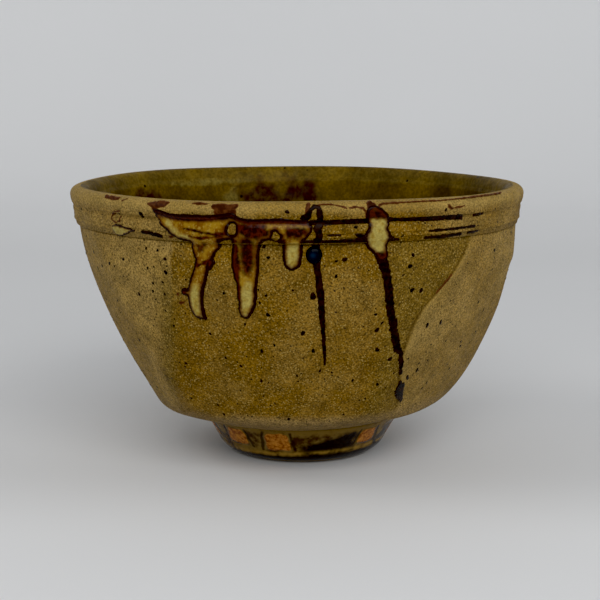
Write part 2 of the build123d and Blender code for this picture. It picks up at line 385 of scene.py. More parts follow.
def build_foot_glaze(material):
    """The glossy skin on the outside of the foot, from just above the ground to the base of the wall."""
    rows = section_loop("foot_glaze", FOOT_PIVOT, np.linspace(-72, 38, 40), FOOT_SHIFT)
    middle = np.array([FOOT_SHIFT, 0, FOOT_PIVOT[1]])
    inner = rows[::-1].copy()
    spokes = inner - middle
    length = np.hypot(spokes[..., 0], spokes[..., 1])[..., None]
    inner[..., :2] -= spokes[..., :2] / length * 0.6
    rows = np.concatenate([rows, inner])
    azimuth = np.degrees(np.arctan2(rows[..., 0] - FOOT_SHIFT, -rows[..., 1]))
    return mesh_object("foot_glaze_skin", rows.reshape(-1, 3), ring_faces(len(rows), COLUMNS, loop=True),
                       material, **foot_marks(azimuth, rows[..., 2]))


RING_PITCH = 7.5  # from one throwing ring to the next, inside


def build_lining(material):
    """The glaze inside, from the floor up over the inner edge of the lip."""
    over = section_loop("rim_band", COLLAR_PIVOT, np.linspace(84, 140, 14))
    down = inside_rows(cad_tree("inner_glaze"), MOUTH_TOP - 0.6, turn=24.0, floor_rows=30, wall_rows=84)
    front = np.concatenate([over, down])
    x, y, z = front[..., 0], front[..., 1], front[..., 2]
    rings = 0.10 * np.sin(z * 2 * math.pi / RING_PITCH + np.arctan2(x, -y))
    rings = rings * smoothstep(MOUTH_TOP, MOUTH_TOP - 12, z)
    scale = 1 - (rings + 0.12) / np.maximum(np.hypot(x, y), 8)
    front = np.stack([x * scale, y * scale, z + 0.04], axis=-1)
    back = front[::-1].copy()
    back[..., :2] *= 1.006
    back[..., 2] -= 0.25
    points = hand_thrown(np.concatenate([front, back])).reshape(-1, 3)
    faces = ring_faces(2 * len(front), COLUMNS, loop=True)
    return mesh_object("inner_glaze_lining", points, faces, material, **lining_marks(points))


# ---------------------------------------------------------------- where glaze lies on the clay

FIELD_TURN, FIELD_RISE = 0.5, 0.25  # steps of azimuth and height
FIELD_AZIMUTHS = np.arange(-180, 180, FIELD_TURN)
FIELD_HEIGHTS = np.arange(14.0, HEIGHT - 0.7, FIELD_RISE)


def clay_field(*pieces):
    """The finished clay's outside radius at every field height and azimuth. Rays that slip through the seam
    under the collar are closed over from the rows beside them."""
    tree = ray_tree(*(piece.data for piece in pieces))
    outs = [outward(azimuth) for azimuth in FIELD_AZIMUTHS]
    field = np.array([[hit_distance(tree, UP * height, out) for out in outs] for height in FIELD_HEIGHTS])
    for extreme in (np.max, np.min):
        ends = np.pad(field, ((1, 1), (0, 0)), mode="edge")
        field = extreme([ends[:-2], ends[1:-1], ends[2:]], axis=0)
    return field


def look_up(field, azimuth, height):
    """Reads a field between its grid points."""
    turn = (np.asarray(azimuth, float) + 180) % 360 / FIELD_TURN
    rise = (np.asarray(height, float) - FIELD_HEIGHTS[0]) / FIELD_RISE
    rise = np.clip(rise, 0, len(FIELD_HEIGHTS) - 1.001)
    left, low = turn.astype(int), rise.astype(int)
    across, up = turn - left, rise - low
    left, right = left % len(FIELD_AZIMUTHS), (left + 1) % len(FIELD_AZIMUTHS)
    lower = field[low, left] * (1 - across) + field[low, right] * across
    upper = field[low + 1, left] * (1 - across) + field[low + 1, right] * across
    return lower * (1 - up) + upper * up


def on_clay(field, across, height, lift):
    """Points at a lift over the clay. across is the azimuth times DEGREE, which is nearly millimetres."""
    azimuth = np.asarray(across) / DEGREE
    radius = look_up(field, azimuth, height) + lift
    angle = np.radians(azimuth)
    height = np.asarray(height) + 0 * angle
    return np.stack([np.sin(angle) * radius, -np.cos(angle) * radius, height], axis=-1)


def across_at(field, x, height):
    """The across value of the point on the clay that is x to the right of the axis, seen from the front."""
    azimuth = 0.0
    for _ in range(6):
        sine = x / float(look_up(field, azimuth, height))
        azimuth = math.degrees(math.asin(max(-1, min(1, sine))))
    return azimuth * DEGREE


def mottle(across, height, size, seed):
    """Smooth seeded noise from -1 to 1, with features of about the given size."""
    lattice = np.random.default_rng(seed).uniform(-1, 1, (257, 257))
    column, row = across / size + 128, height / size + 20
    left, low = np.floor(column).astype(int) % 256, np.floor(row).astype(int) % 256
    part, rise = column % 1, row % 1
    part, rise = part * part * (3 - 2 * part), rise * rise * (3 - 2 * rise)
    lower = lattice[low, left] * (1 - part) + lattice[low, left + 1] * part
    upper = lattice[low + 1, left] * (1 - part) + lattice[low + 1, left + 1] * part
    return lower * (1 - rise) + upper * rise


def stroke(across, height, chain):
    """Signed distance to a brush stroke through a chain of (across, height, half width) points."""
    chain = list(chain)
    if len(chain) == 1:
        chain = chain * 2
    best = np.full(np.shape(across), 1e3)
    for (start_u, start_z, start_r), (end_u, end_z, end_r) in zip(chain, chain[1:]):
        du, dz = end_u - start_u, end_z - start_z
        share = ((across - start_u) * du + (height - start_z) * dz) / max(du * du + dz * dz, 1e-6)
        share = np.clip(share, 0, 1)
        away = np.hypot(across - start_u - share * du, height - start_z - share * dz)
        best = np.minimum(best, away - start_r - share * (end_r - start_r))
    return best


def merged(first, second, blend):
    """The smooth union of two signed distances."""
    share = np.maximum(blend - np.abs(first - second), 0) / blend
    return np.minimum(first, second) - share * share * blend / 4


GLAZE_BACK = 0.3  # how far inside the clay the hidden side of a glaze lies
CREASE = math.radians(55)  # sides steeper than this meet a glaze's top in a sharp edge


def laid_mesh(name, span, shape, thickness, shoulder, field, material, step=0.2, inset=1.0,
              keep=None, masks=None):
    """A closed lump of glaze on the clay, where the signed distance shape is negative and keep is true.
    span is (lowest across, highest across, lowest height, highest height). The top swells from the edge over
    the shoulder's width to the full thickness, and the back lies just inside the clay. inset is how much
    further from its edge the glaze's colour counts it to be."""
    us = np.arange(span[0], span[1] + step, step)
    zs = np.arange(span[2], span[3] + step, step)
    grid_u, grid_z = np.meshgrid(us, zs)
    distance = shape(grid_u, grid_z)
    inside = distance < 0.35 * step
    cells = inside[:-1, :-1] & inside[1:, :-1] & inside[:-1, 1:] & inside[1:, 1:]
    if keep:
        cells &= keep(grid_u[:-1, :-1] + step / 2, grid_z[:-1, :-1] + step / 2)
    crossed = cells[:-1, :-1] & cells[1:, 1:] & ~cells[1:, :-1] & ~cells[:-1, 1:]
    cells[1:, :-1] |= crossed
    crossed = cells[1:, :-1] & cells[:-1, 1:] & ~cells[:-1, :-1] & ~cells[1:, 1:]
    cells[:-1, :-1] |= crossed

    count = np.zeros(grid_u.shape, int)
    for rows in (slice(0, -1), slice(1, None)):
        for columns in (slice(0, -1), slice(1, None)):
            count[rows, columns] += cells
    used = count > 0
    edge = used & (count < 4) & (distance > -0.9 * step)
    for _ in range(3):
        here = shape(grid_u, grid_z)
        slope_u = (shape(grid_u + 0.02, grid_z) - here) / 0.02
        slope_z = (shape(grid_u, grid_z + 0.02) - here) / 0.02
        size = np.maximum(slope_u ** 2 + slope_z ** 2, 0.25)
        most = 0.6 * step
        grid_u = np.where(edge, grid_u - np.clip(here * slope_u / size, -most, most), grid_u)
        grid_z = np.where(edge, grid_z - np.clip(here * slope_z / size, -most, most), grid_z)

    u, z = grid_u[used], grid_z[used]
    depth = np.maximum(-shape(u, z), 0)
    swell = np.sqrt(np.maximum(1 - (1 - np.clip(depth / shoulder, 0, 1)) ** 2, 0))
    full = thickness(u, z) if callable(thickness) else thickness
    lift = 0.02 + full * swell
    ease = smoothstep(0, shoulder, depth)
    clay = look_up(field, u / DEGREE, z)
    even = look_up(smooth_rings(field, across=2.0, along=5.0), u / DEGREE, z)
    fill = np.maximum(even - clay, -0.6 * lift)
    top = on_clay(field, u, z, lift + ease * fill)
    under = on_clay(field, u, z, -GLAZE_BACK)
    number = np.full(used.shape, -1)
    number[used] = np.arange(len(u))
    rows, columns = np.nonzero(cells)
    corners = np.stack([number[rows, columns], number[rows, columns + 1],
                        number[rows + 1, columns + 1], number[rows + 1, columns]], axis=1)
    total = len(u)
    faces = corners.tolist() + (corners[:, ::-1] + total).tolist()
    sides = {}
    for quad in corners.tolist():
        for start, end in zip(quad, quad[1:] + quad[:1]):
            sides[(start, end)] = sides.get((start, end), 0) + 1
    faces += [(end, start, start + total, end + total) for start, end in sides if (end, start) not in sides]
    values = {"depth": np.tile(depth * inset, 2)}
    for key, mask in (masks or {}).items():
        values[key] = np.tile(mask(u, z), 2)
    piece = mesh_object(name, np.concatenate([top, under]), faces, material, **values)
    piece.data.set_sharp_from_angle(angle=CREASE)
    return piece


def chain_on(field, points):
    """Turns (x, height, half width) points, seen from the front, into a chain on the clay."""
    return [(across_at(field, x, height), height, half_width) for x, height, half_width in points]


def span_of(chains, margin=1.5):
    """The span that holds some chains."""
    points = [point for chain in chains for point in chain]
    return (min(u - r for u, _, r in points) - margin, max(u + r for u, _, r in points) + margin,
            min(z - r for _, z, r in points) - margin, max(z + r for _, z, r in points) + margin)


# ---------------------------------------------------------------- the glaze that ran from the rim
# Points are (x, height, half width): where they are seen from the front, and half the flow's width there.

POOL = (
    (-32.7, 70.3, 0.96), (-31.5, 69.7, 1.43), (-30.2, 68.9, 1.8), (-29.0, 68.3, 2.2), (-27.5, 67.8, 2.6),
    (-25.3, 67.5, 2.8), (-22.6, 67.6, 2.8), (-19.9, 67.9, 2.7), (-17.5, 68.2, 2.6), (-15.3, 68.6, 2.65),
    (-13.0, 68.1, 2.4), (-10.6, 67.7, 2.3), (-8.2, 67.9, 2.2), (-6.1, 68.2, 2.2), (-3.8, 68.0, 2.55),
    (-1.2, 67.9, 2.3), (0.9, 68.0, 2.1), (2.0, 68.6, 1.6)
)
LEFT_RUN = (
    (-21.7, 64.6, 3.7), (-22.0, 63.2, 3.0), (-22.1, 61.8, 2.4), (-22.3, 60.3, 1.8), (-22.6, 59.2, 1.6),
    (-22.8, 57.9, 1.7), (-23.2, 56.3, 1.75), (-24.0, 54.0, 1.8), (-24.4, 51.4, 1.9), (-24.2, 48.9, 1.75),
    (-23.7, 47.2, 1.6)
)
LEFT_CORNERS = (
    ((-22.9, 46.2, 0.8), (-22.2, 45.7, 0.4)),
    ((-20.4, 59.9, 0.85), (-20.8, 58.6, 0.45)),
    ((-27.0, 52.1, 0.7), (-25.8, 52.0, 0.6)),
)
CENTRE_RUN = (
    (-11.4, 66.5, 3.3), (-11.8, 64.0, 3.05), (-12.1, 61.6, 3.2), (-12.1, 59.2, 3.25), (-12.0, 57.2, 3.0),
    (-11.8, 55.7, 2.6), (-11.8, 53.7, 2.3), (-11.8, 51.7, 2.35), (-11.7, 50.2, 2.05), (-12.0, 48.6, 1.8),
    (-12.2, 47.5, 1.35)
)
SHORT_RUN = (
    (-0.8, 66.6, 2.35), (-0.8, 63.2, 2.2), (-0.9, 61.3, 2.1), (-0.9, 60.5, 1.95)
)
ISLANDS = (((-15.1, 68.6, 0.84), (-15.2, 67.8, 0.94)), ((-5.0, 67.5, 0.35), (-4.8, 66.7, 0.98)))
RUN_TOP = 64.7
THIN_LIP = 0.28  # how far the thin edge of a flow runs out past its dark outline

# Where the iron under those glazes shows: strokes, and how softly each fades
DARK_FLOWS = (
    (((-33.9, 71.8, 0.4), (-31.9, 71.2, 0.5), (-30.2, 70.7, 0.55), (-27.2, 70.4, 0.65), (-23.7, 70.5, 0.7),
     (-20.3, 70.6, 0.65), (-17.4, 71.2, 0.5), (-15.0, 71.5, 0.5), (-13.2, 70.2, 0.6), (-10.3, 69.9, 0.55),
     (-6.8, 70.1, 0.5), (-3.3, 70.3, 0.5), (0.0, 69.9, 0.5), (2.2, 70.0, 0.4)), 0.35),
    (((-13.2, 68.6, 1.2), (-10.8, 67.9, 2.1), (-8.5, 67.9, 1.9), (-7.1, 67.4, 1.1)), 0.7),
    (((-27.0, 68.0, 0.24), (-24.0, 67.6, 0.3), (-21.6, 67.1, 0.28), (-19.2, 66.8, 0.4), (-16.5, 67.2, 0.5)),
     0.25),
    (((-25.5, 66.2, 0.24), (-22.5, 65.7, 0.5), (-19.7, 66.2, 0.28), (-17.5, 66.5, 0.23)), 0.25),
    (((-23.2, 63.9, 0.5), (-22.8, 63.0, 0.7), (-21.8, 64.2, 0.5)), 0.7),
    (((-1.4, 67.6, 1.3), (0.4, 67.6, 1.5), (1.6, 67.8, 1.0)), 0.6),
    (((-14.3, 63.9, 0.7), (-14.4, 61.5, 1.1), (-14.2, 59.1, 1.1), (-14.0, 56.6, 0.85), (-13.6, 53.7, 0.5),
     (-13.5, 51.1, 0.35)), 0.4),
    (((-11.7, 65.0, 2.0), (-11.6, 62.5, 2.0), (-11.5, 60.0, 1.7), (-11.6, 58.2, 1.2)), 1.1),
    (((-24.3, 58.8, 0.22), (-22.4, 59.4, 0.26), (-20.4, 59.9, 0.9), (-20.8, 58.6, 0.5)), 0.2),
    (((-27.0, 52.1, 0.7),), 0.2),
    (((-17.9, 65.3, 0.55), (-16.0, 65.0, 0.8), (-14.3, 65.4, 0.5)), 0.25),
    (((-7.1, 65.4, 0.4), (-5.0, 65.2, 0.5), (-3.1, 65.5, 0.6), (-2.7, 63.8, 0.5)), 0.25),
    (((1.4, 65.4, 0.4), (1.2, 62.2, 0.5), (0.9, 60.1, 0.5)), 0.25),
)
PALE_FLOWS = (
    (((-23.9, 52.8, 1.2), (-24.3, 50.2, 1.9), (-23.9, 47.9, 1.9), (-23.2, 45.8, 1.7)), 1.2),
    (((-11.3, 54.5, 0.9), (-11.7, 51.9, 1.6), (-11.9, 49.4, 1.6), (-12.1, 47.1, 1.2)), 0.8),
    (((-0.5, 63.7, 1.2), (-0.8, 61.7, 1.9), (-0.8, 59.8, 1.9)), 1.0),
    (((-30.7, 69.2, 0.7), (-29.5, 67.4, 0.9), (-27.8, 66.0, 0.9), (-24.9, 64.8, 0.9)), 0.5),
)

RIGHT_RUN = (
    (18.3, 72.0, 1.7), (18.8, 71.1, 2.2), (19.4, 69.8, 2.5), (19.4, 68.6, 2.25), (19.3, 67.4, 2.4),
    (19.3, 66.2, 3.0), (19.3, 65.4, 2.8), (19.5, 64.1, 2.1), (19.8, 63.4, 1.5)
)
RIGHT_HORNS = (
    ((21.0, 70.2, 0.35), (22.6, 70.3, 0.2)),
    ((21.4, 66.2, 0.4), (23.0, 65.7, 0.2)),
    ((17.0, 66.2, 0.4), (15.9, 66.3, 0.2)),
)
RIGHT_TAIL = ((19.9, 63.0, 1.6), (20.3, 61.8, 1.4))
SPOT = ((-45.6, 66.5, 0.5), (-44.6, 65.9, 1.5), (-43.1, 65.9, 1.4), (-41.2, 66.3, 0.6), (-39.6, 66.4, 0.3))

IRON_CENTRE = (
    ((1.7, 71.1, 0.6), (2.6, 71.5, 0.8), (3.2, 73.0, 0.4), (4.2, 73.8, 0.3), (5.2, 73.7, 0.3),
     (5.4, 72.6, 0.6), (5.6, 70.9, 0.6), (5.3, 69.7, 0.85), (5.0, 68.5, 0.8), (5.5, 67.1, 0.65),
     (4.9, 65.4, 0.8), (4.6, 63.9, 0.8)),
    ((4.7, 61.8, 1.2), (4.8, 59.6, 0.7), (5.3, 56.6, 0.65), (5.6, 53.8, 0.85), (5.9, 50.9, 0.75),
     (6.2, 47.4, 0.7), (6.3, 44.8, 0.5), (6.6, 41.4, 0.45), (6.8, 38.4, 0.35), (7.0, 33.9, 0.2)),
)
IRON_RIGHT = (
    (20.2, 62.0, 1.3), (20.4, 61.2, 1.3), (20.8, 60.0, 1.2), (21.3, 58.0, 1.05), (21.9, 55.5, 0.95),
    (22.3, 52.9, 1.0), (22.5, 50.4, 1.0), (22.8, 47.8, 1.05), (23.4, 45.1, 1.05), (23.8, 42.5, 1.0),
    (24.4, 39.7, 1.0), (24.9, 37.5, 1.0), (25.8, 36.1, 0.65), (26.0, 33.6, 0.5), (26.1, 30.1, 0.3)
)
IRON_DROP = ((26.0, 27.6, 0.3), (26.1, 25.4, 1.8), (26.3, 23.6, 1.4), (26.8, 21.6, 0.6))
BEAD_PLACE = (4.2, 62.2)
BEAD_RADIUS = 2.1

# Iron in the grooves, as strokes along them
UPPER_FILLS = (
    ((3.5, 70.0, 0.42), (6.8, 69.9, 0.5), (11.5, 70.0, 0.5), (16.4, 70.2, 0.52)),
    ((22.4, 70.2, 0.33), (25.1, 70.2, 0.31), (30.8, 70.0, 0.48), (36.0, 69.9, 0.48), (40.2, 69.7, 0.63)),
    ((43.8, 69.8, 0.25), (46.2, 69.9, 0.22)),
)
LOWER_FILLS = (
    ((1.6, 65.1, 0.6), (3.7, 65.1, 0.55), (6.8, 65.3, 0.42), (11.5, 65.3, 0.42), (15.8, 65.5, 0.47)),
    ((15.8, 65.6, 0.4), (17.0, 64.6, 0.3)),
    ((22.8, 65.5, 0.31), (24.3, 65.4, 0.24)),
    ((31.1, 65.3, 0.34), (34.9, 65.3, 0.39), (40.3, 65.5, 0.29)),
    ((42.2, 65.6, 0.2), (45.0, 65.7, 0.2)),
    ((7.5, 66.9, 0.12), (10.3, 66.9, 0.2)),
    ((14.3, 66.8, 0.33), (16.2, 66.5, 0.37)),
    ((32.2, 67.0, 0.19), (37.9, 67.0, 0.24), (44.2, 67.1, 0.2)),
    ((-37.5, 66.3, 0.34), (-35.4, 66.1, 0.39), (-32.7, 65.7, 0.48)),
)


def strokes_share(across, height, strokes, rough):
    """How much of each place some soft-edged strokes cover, from 0 to 1."""
    shares = [1 - smoothstep(-soft, soft, stroke(across, height, chain) + rough) for chain, soft in strokes]
    return np.max(shares, axis=0)


def build_flows(field, amber, cream):
    """The pool under the lip and the three runs that leave it, cut into their own pieces where they part."""
    flows = (POOL, LEFT_RUN, CENTRE_RUN, SHORT_RUN)
    pool, left, centre, short = (chain_on(field, points) for points in flows)
    corners = [chain_on(field, points) for points in LEFT_CORNERS]
    islands = [chain_on(field, points) for points in ISLANDS]
    darks = [(chain_on(field, points), soft) for points, soft in DARK_FLOWS]
    pales = [(chain_on(field, points), soft) for points, soft in PALE_FLOWS]

    def shape(u, z):
        flow = merged(stroke(u, z, pool), stroke(u, z, darks[0][0]), 0.4)
        for run in (left, centre, short):
            flow = merged(flow, stroke(u, z, run), 0.9)
        for corner in corners:
            flow = merged(flow, stroke(u, z, corner), 0.4)
        flow += 0.10 * mottle(u, z, 1.3, 3) + 0.07 * mottle(u, z, 0.55, 4) - THIN_LIP
        for island in islands:
            flow = np.maximum(flow, -stroke(u, z, island) + 0.10 * mottle(u, z, 0.8, 5))
        return flow

    def dark(u, z):
        return strokes_share(u, z, darks, 0.22 * mottle(u, z, 0.9, 11) + 0.16 * mottle(u, z, 0.4, 12))

    def pale(u, z):
        return strokes_share(u, z, pales, 0.3 * mottle(u, z, 1.1, 13))

    def thick(u, z):
        low = 1 - smoothstep(46, 60, z)
        return 0.34 + 0.30 * low + 0.05 * mottle(u, z, 2.4, 14)

    low_u, high_u, _, high_z = span_of((pool, left))
    split_left = across_at(field, -17.0, RUN_TOP)
    split_right = across_at(field, -6.0, RUN_TOP)
    regions = (
        ("pool_of_amber_glaze", "rim_glaze_pool", amber, "amber_glaze", lambda u, z: z > RUN_TOP),
        ("left_glaze_run", "glaze_run_left", cream, "cream_glaze",
         lambda u, z: (z < RUN_TOP) & (u < split_left)),
        ("centre_glaze_run", "glaze_run_centre", amber, "amber_glaze",
         lambda u, z: (z < RUN_TOP) & (u > split_left) & (u < split_right)),
        ("short_glaze_run", "glaze_run_short", cream, "cream_glaze",
         lambda u, z: (z < RUN_TOP) & (u > split_right)),
    )
    step = 0.2
    low_z = RUN_TOP - step * 110  # a whole number of steps down, so that the cut falls on a row of the grid
    for name, node, material, slot, keep in regions:
        piece = laid_mesh(name, (low_u, high_u, low_z, high_z), shape, thick, 0.75, field, material,
                          step, keep=keep, masks={"dark": dark, "pale": pale})
        finish_piece(piece, slot, node)


def build_right_run(field, material):
    """The cream run on the right, dark where it leaves the lip and where the iron run takes over."""
    run, tail = (chain_on(field, points) for points in (RIGHT_RUN, RIGHT_TAIL))
    horns = [chain_on(field, points) for points in RIGHT_HORNS]

    def shape(u, z):
        flow = merged(stroke(u, z, run), stroke(u, z, tail), 0.3)
        for horn in horns:
            flow = merged(flow, stroke(u, z, horn), 0.5)
        return flow + 0.09 * mottle(u, z, 1.2, 21) + 0.07 * mottle(u, z, 0.5, 22) - THIN_LIP

    def dark(u, z):
        rough = 0.35 * mottle(u, z, 0.9, 23)
        return np.maximum(smoothstep(70.3, 71.0, z + rough) * smoothstep(74.6, 72.4, z + rough),
                          smoothstep(63.2, 62.4, z + rough))

    def pale(u, z):
        return 1 - smoothstep(70.0, 71.0, z)

    piece = laid_mesh("right_glaze_run", span_of((run, tail)), shape, 0.42, 0.8, field, material,
                      masks={"dark": dark, "pale": pale})
    finish_piece(piece, "cream_glaze", "glaze_run_right")


def build_spot(field, material):
    """The splash of cream glaze at the left of the rim band, with a thin tail."""
    spot = chain_on(field, SPOT)

    def shape(u, z):
        return stroke(u, z, spot) + 0.22 * mottle(u, z, 0.9, 31)

    masks = {"dark": lambda u, z: 0.05 + 0 * u, "pale": lambda u, z: 1.0 + 0 * u}
    piece = laid_mesh("left_glaze_spot", span_of((spot,)), shape, 0.3, 0.6, field, material,
                      inset=2.2, masks=masks)
    finish_piece(piece, "cream_glaze", "glaze_spot_left")


# The pieces of iron glaze: name, CAD node, chains, how ragged, how thick, and the seed of the raggedness
IRON_PIECES = (
    ("centre_iron_run", "iron_run_centre", IRON_CENTRE, 0.12, 0.20, 81),
    ("right_iron_run", "iron_run_right", (IRON_RIGHT,), 0.24, 0.20, 83),
    ("low_iron_drop", "iron_drop", (IRON_DROP,), 0.22, 0.28, 85),
    ("upper_groove_iron", "groove_glaze_upper", UPPER_FILLS, 0.12, 0.18, 87),
    ("lower_groove_iron", "groove_glaze_lower", LOWER_FILLS, 0.12, 0.16, 89),
)
IRON_SPREAD = 0.15  # how far the iron runs out past its strokes


def build_iron(name, node, strokes, ragged, thickness, seed, field, material):
    """One piece of black iron glaze along some chains, with ragged edges."""
    chains = [chain_on(field, points) for points in strokes]

    def shape(u, z):
        flow = np.min([stroke(u, z, chain) for chain in chains], axis=0)
        rough = ragged * mottle(u, z, 0.75, seed) + 0.6 * ragged * mottle(u, z, 0.35, seed + 1)
        return flow + rough - IRON_SPREAD

    piece = laid_mesh(name, span_of(chains), shape, thickness, 0.4, field, material, step=0.16)
    finish_piece(piece, "iron_glaze", node)


def build_bead(field, material):
    """The fat bead of black glaze that hangs at the head of the centre iron run."""
    across, height = across_at(field, *BEAD_PLACE), BEAD_PLACE[1]
    rings, spokes = 12, 40
    turns = np.arange(spokes) * 2 * math.pi / spokes
    sag = np.where(np.cos(turns) < 0, 1.12, 0.95)
    points = []
    for ring in range(1, rings + 1):
        tilt = math.pi / 2 * ring / rings
        spread = BEAD_RADIUS * math.sin(tilt)
        wide, tall = spread * np.sin(turns) * 0.96, spread * np.cos(turns) * sag
        points.append(on_clay(field, across + wide, height + tall, 1.25 * math.cos(tilt) ** 0.8))
    spread = 0.8 * BEAD_RADIUS
    points.append(on_clay(field, across + spread * np.sin(turns), height + spread * np.cos(turns), -0.5))
    points.append([on_clay(field, across, height, lift) for lift in (1.27, -0.5)])
    points = np.concatenate(points)
    # painted highlight: a small blue glint left of the bead's middle
    glint_centre = on_clay(field, np.array([across - 0.35]), np.array([height - 0.1]), 1.2)[0]
    blue = np.exp(-(np.linalg.norm(points - glint_centre, axis=1) / 0.6) ** 2)
    faces = ring_faces(rings + 1, spokes, start_pole=True, end_pole=True)
    piece = mesh_object("bead_of_iron_glaze", points, faces, material, depth=np.ones(len(points)), blue=blue)
    finish_piece(piece, "iron_glaze", "glaze_bead")


# ---------------------------------------------------------------- iron specks and thin marks

# The larger specks of melted iron: (x, height, radius), seen from the front
SPECKS = (
    (-37.7, 70.5, 0.6), (-2.1, 72.6, 0.4), (-6.6, 61.4, 0.35), (11.5, 60.9, 0.5), (27.4, 58.6, 0.5),
    (28.1, 61.3, 0.4), (28.1, 52.5, 0.5), (30.4, 52.2, 0.5), (4.0, 51.9, 0.7), (1.6, 42.4, 0.5),
    (19.6, 42.8, 0.5), (19.8, 37.5, 0.5), (23.1, 34.7, 0.5), (9.5, 56.8, 0.35), (-6.8, 47.1, 0.45),
    (-8.4, 37.5, 0.4), (4.1, 37.7, 0.45), (32.4, 42.8, 0.5), (36.1, 42.8, 0.5), (-31.8, 60.0, 0.4),
    (-31.7, 56.7, 0.45), (-32.6, 54.1, 0.3), (-36.7, 62.2, 0.3), (-33.7, 62.0, 0.3), (-36.4, 57.3, 0.3),
    (-35.3, 51.4, 0.32), (-32.2, 51.0, 0.3), (-12.4, 44.5, 0.3), (-0.8, 53.4, 0.25), (-7.2, 52.0, 0.3),
    (-7.6, 64.0, 0.4), (-17.4, 52.3, 0.3), (25.4, 66.2, 0.25), (30.6, 30.0, 0.5), (28.0, 28.6, 0.5),
    (20.2, 27.8, 0.4)
)
SPECK_SWELL = 1.25
SPECK_RISE = 0.28  # how high a speck stands, as a share of its radius
SPECK_COUNT = 520  # how many more are scattered


def build_specks(field, material):
    """Small raised lenses of melted iron, some placed one by one and the rest scattered all round."""
    draw = np.random.default_rng(71)
    spots = [(across_at(field, x, height), height, SPECK_SWELL * radius) for x, height, radius in SPECKS]
    for _ in range(SPECK_COUNT):
        height = 18 + 54 * draw.random()
        spots.append((draw.uniform(-180, 180) * DEGREE, height, 0.16 + 0.32 * draw.random() ** 2.5))
    rings, spokes = 4, 12
    turns = np.arange(spokes) * 2 * math.pi / spokes
    one_lens = ring_faces(rings + 1, spokes, start_pole=True, end_pole=True)
    points, faces = [], []
    for across, height, radius in spots:
        wobble = 1 + 0.16 * np.sin(2 * turns + draw.uniform(0, 6))
        wobble += 0.10 * np.sin(3 * turns + draw.uniform(0, 6))
        faces += [[len(points) + corner for corner in face] for face in one_lens]
        tilts = [math.pi / 2 * ring / rings for ring in range(1, rings + 1)]
        layers = [(radius * math.sin(tilt) * wobble, 0.02 + SPECK_RISE * radius * math.cos(tilt))
                  for tilt in tilts]
        for spread, lift in layers + [(0.9 * radius * wobble, -0.25)]:
            wide, tall = spread * np.sin(turns), spread * np.cos(turns)
            points += list(on_clay(field, across + wide, height + tall, lift))
        points += [on_clay(field, across, height, lift) for lift in (0.02 + SPECK_RISE * radius, -0.25)]
    piece = mesh_object("iron_specks", points, faces, material, depth=np.full(len(points), 0.6))
    finish_piece(piece, "iron_glaze")


# Thin lines of iron along the lip, and the small rings, dashes and stains on the rim band
FINE_MARKS = (
    ((4.4, 73.9, 0.2), (6.0, 74.3, 0.2), (8.1, 74.3, 0.2), (10.0, 73.9, 0.2), (11.9, 73.3, 0.22),
     (14.0, 73.6, 0.22), (15.7, 73.3, 0.25), (16.4, 72.4, 0.3), (16.5, 71.1, 0.25)),
    ((21.2, 71.3, 0.35), (20.3, 72.5, 0.22), (19.6, 73.2, 0.2), (19.4, 73.8, 0.2), (20.4, 74.2, 0.2),
     (24.6, 74.3, 0.2), (29.5, 74.3, 0.2), (34.6, 74.2, 0.2), (40.4, 74.3, 0.2), (45.5, 74.4, 0.2),
     (51.8, 74.4, 0.2)),
    ((2.8, 74.1, 0.6), (2.5, 72.8, 0.6)),
    ((17.3, 74.2, 0.8), (17.9, 73.2, 1.3), (18.4, 72.2, 1.5)),
    ((20.5, 68.5, 0.2), (21.1, 67.8, 0.2), (20.5, 67.3, 0.2), (20.0, 67.9, 0.2), (20.5, 68.5, 0.2)),
    ((36.9, 72.8, 0.45), (37.7, 72.1, 0.24), (39.0, 72.3, 0.26), (40.9, 72.5, 0.2)),
    ((-43.7, 70.9, 0.24), (-45.1, 70.5, 0.26), (-46.0, 69.4, 0.26), (-45.7, 68.2, 0.26),
     (-44.7, 67.9, 0.24), (-43.6, 68.4, 0.24), (-43.3, 69.4, 0.22)),
    ((-47.4, 74.1, 0.34), (-45.3, 73.9, 0.5), (-43.6, 74.0, 0.3)),
    ((-42.7, 73.6, 0.27), (-41.4, 74.1, 0.22)),
    ((-30.4, 65.6, 0.24), (-29.6, 65.9, 0.24)),
    ((-24.6, 74.0, 0.2), (-22.6, 74.1, 0.3), (-20.6, 74.0, 0.2)),
    ((-35.7, 73.4, 0.45), (-34.2, 73.2, 0.9), (-31.9, 73.5, 0.75), (-30.4, 73.9, 0.24)),
    ((-34.2, 72.6, 0.7), (-33.4, 71.3, 0.7), (-32.5, 69.9, 0.4)),
    ((-19.6, 73.5, 0.65), (-16.9, 73.2, 1.1), (-14.1, 73.7, 0.55)),
    ((-18.6, 72.2, 0.9), (-16.5, 72.0, 1.2), (-14.8, 72.2, 0.9), (-14.6, 71.2, 0.6)),
    ((-28.8, 51.4, 0.45),),
    ((-28.4, 49.1, 0.45), (-27.3, 49.5, 0.2)),
    ((38.4, 55.7, 0.16), (36.9, 53.8, 0.26), (35.6, 52.4, 0.3), (34.4, 51.0, 0.2)),
)


def build_fine_marks(field, material):
    """The thin lines of iron along the lip and the small rings and dashes on the rim band."""
    chains = [chain_on(field, points) for points in FINE_MARKS]

    def shape(u, z):
        marks = np.min([stroke(u, z, chain) for chain in chains], axis=0)
        return marks + 0.16 * mottle(u, z, 1.0, 61) + 0.08 * mottle(u, z, 0.4, 62)

    piece = laid_mesh("fine_iron_marks", span_of(chains), shape, 0.08, 0.3, field, material, step=0.14)
    finish_piece(piece, "iron_glaze")


# ---------------------------------------------------------------- marks on the foot glaze and the lining

